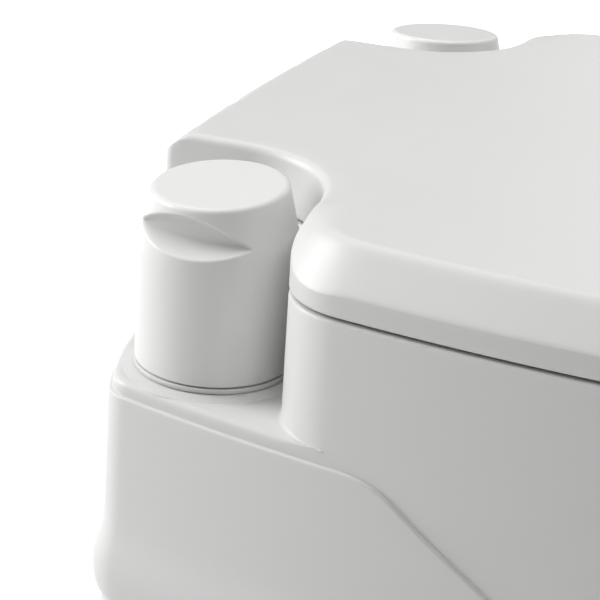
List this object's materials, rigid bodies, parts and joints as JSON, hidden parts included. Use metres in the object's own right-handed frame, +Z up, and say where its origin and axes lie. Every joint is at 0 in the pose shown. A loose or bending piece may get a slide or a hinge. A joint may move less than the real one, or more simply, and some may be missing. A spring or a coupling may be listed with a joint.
{
  "type": "cassette toilet",
  "caption": "Portable cassette toilet: flush-water unit with hinged lid and seat, piston pump and filler cap, latched on a waste tank with blade valve and swivelling spout.",
  "frame": {"origin": "on the floor, at the middle of the footprint", "axes": "+Z up; -Y is the front, where the valve handle is; +X is to the right when facing the front; the hinge is at +Y"},
  "size_m": [0.3822, 0.4269, 0.33],
  "materials": {
    "shell_white": "satin moulded plastic, very slightly warm white",
    "lid_white": "satin moulded plastic with a faint fine grain",
    "pump_white": "smooth moulded plastic",
    "seat_white": "polished moulded plastic",
    "bowl_white": "polished moulded plastic",
    "tank_grey": "blow-moulded light grey plastic",
    "fitting_grey": "injection-moulded mid grey plastic",
    "clear_window": "clear plastic",
    "gauge_red": "coloured indicator plastic",
    "seal_rubber": "soft black seal rubber",
    "pad_rubber": "soft pale grey bumper rubber",
    "steel": "stainless steel"
  },
  "bodies": {
    "base": {"waste_tank": "tank_grey", "valve_guide": "fitting_grey", "valve_screws": "steel", "valve_lip_seal": "seal_rubber", "carry_grip": "fitting_grey", "gauge_gland": "fitting_grey", "gauge_window": "clear_window", "spout_seal": "seal_rubber", "vent_seal": "seal_rubber", "latch_pins": "steel", "top_shell": "shell_white", "top_unit_base": "shell_white", "bowl": "bowl_white", "pump_tube": "fitting_grey", "pump_collar": "shell_white", "pump_gland": "fitting_grey", "pump_foot": "fitting_grey", "outlet_fitting": "fitting_grey", "flush_tube": "fitting_grey", "flush_nozzle": "bowl_white", "fill_neck": "shell_white", "hinge_pins": "steel", "vent_spring": "steel"},
    "seat": {"seat": "seat_white", "seat_bumpers": "pad_rubber"},
    "lid": {"lid": "lid_white", "lid_bumpers": "pad_rubber"},
    "pump_handle": {"pump_handle": "pump_white", "pump_rod": "fitting_grey", "pump_piston": "fitting_grey", "piston_seal": "seal_rubber"},
    "inlet_valve": {"inlet_valve_disc": "seal_rubber"},
    "outlet_valve": {"outlet_valve_ball": "fitting_grey"},
    "fill_gasket": {"fill_cap_gasket": "seal_rubber"},
    "fill_cap": {"fill_cap": "pump_white"},
    "valve_blade": {"valve_blade": "fitting_grey", "valve_handle": "fitting_grey"},
    "spout": {"spout": "tank_grey"},
    "spout_cap": {"spout_cap": "fitting_grey", "spout_cap_gasket": "seal_rubber"},
    "vent_button": {"vent_button": "fitting_grey"},
    "latch_left": {"latch_left": "shell_white"},
    "latch_right": {"latch_right": "shell_white"},
    "gauge": {"gauge_arm": "fitting_grey", "gauge_float": "fitting_grey", "gauge_pointer": "gauge_red"}
  },
  "joints": [
    {"name": "seat_hinge", "type": "hinge", "parent": "base", "child": "seat", "pos_m": [0, 0.193, 0.311], "axis": [-1, 0, 0], "range_deg": [0, 95]},
    {"name": "lid_hinge", "type": "hinge", "parent": "seat", "child": "lid", "pos_m": [0, 0.193, 0.311], "axis": [-1, 0, 0], "range_deg": [0, 100]},
    {"name": "pump_stroke", "type": "slide", "parent": "base", "child": "pump_handle", "axis": [0, 0, 1], "range_m": [0, 0.055]},
    {"name": "inlet_valve_lift", "type": "slide", "parent": "base", "child": "inlet_valve", "axis": [0, 0, 1], "range_m": [0, 0.003]},
    {"name": "outlet_valve_lift", "type": "slide", "parent": "base", "child": "outlet_valve", "axis": [0, 0, 1], "range_m": [0, 0.003]},
    {"name": "fill_gasket_lift", "type": "slide", "parent": "base", "child": "fill_gasket", "axis": [0, 0, 1], "range_m": [0, 0.006]},
    {"name": "fill_cap_turn", "type": "hinge", "parent": "fill_gasket", "child": "fill_cap", "pos_m": [0.13, 0.16, 0.3], "axis": [0, 0, 1], "range_deg": [0, 360]},
    {"name": "valve_slide", "type": "slide", "parent": "base", "child": "valve_blade", "axis": [0, -1, 0], "range_m": [0, 0.112]},
    {"name": "spout_swivel", "type": "hinge", "parent": "base", "child": "spout", "pos_m": [0.128, 0.176, 0.1], "axis": [0, 0, -1], "range_deg": [0, 100]},
    {"name": "spout_cap_turn", "type": "hinge", "parent": "spout", "child": "spout_cap", "pos_m": [-0.02, 0.176, 0.116], "axis": [-1, 0, 0], "range_deg": [0, 90]},
    {"name": "vent_press", "type": "slide", "parent": "base", "child": "vent_button", "axis": [0, 0, -1], "range_m": [0, 0.0035], "stiffness_N_per_m": 400, "springref_m": -0.003, "deforming": ["vent_spring"]},
    {"name": "latch_left_swing", "type": "hinge", "parent": "base", "child": "latch_left", "pos_m": [-0.184, 0, 0.118], "axis": [0, -1, 0], "range_deg": [0, 80]},
    {"name": "latch_right_swing", "type": "hinge", "parent": "base", "child": "latch_right", "pos_m": [0.184, 0, 0.118], "axis": [0, 1, 0], "range_deg": [0, 80]},
    {"name": "gauge_swing", "type": "hinge", "parent": "base", "child": "gauge", "pos_m": [0.096, -0.17, 0.092], "axis": [0, 1, 0], "range_deg": [0, 55]}
  ],
  "couplings": [
    {"joint": "fill_gasket_lift", "follows": "fill_cap_turn", "m_per_rad": 0.00095}
  ]
}
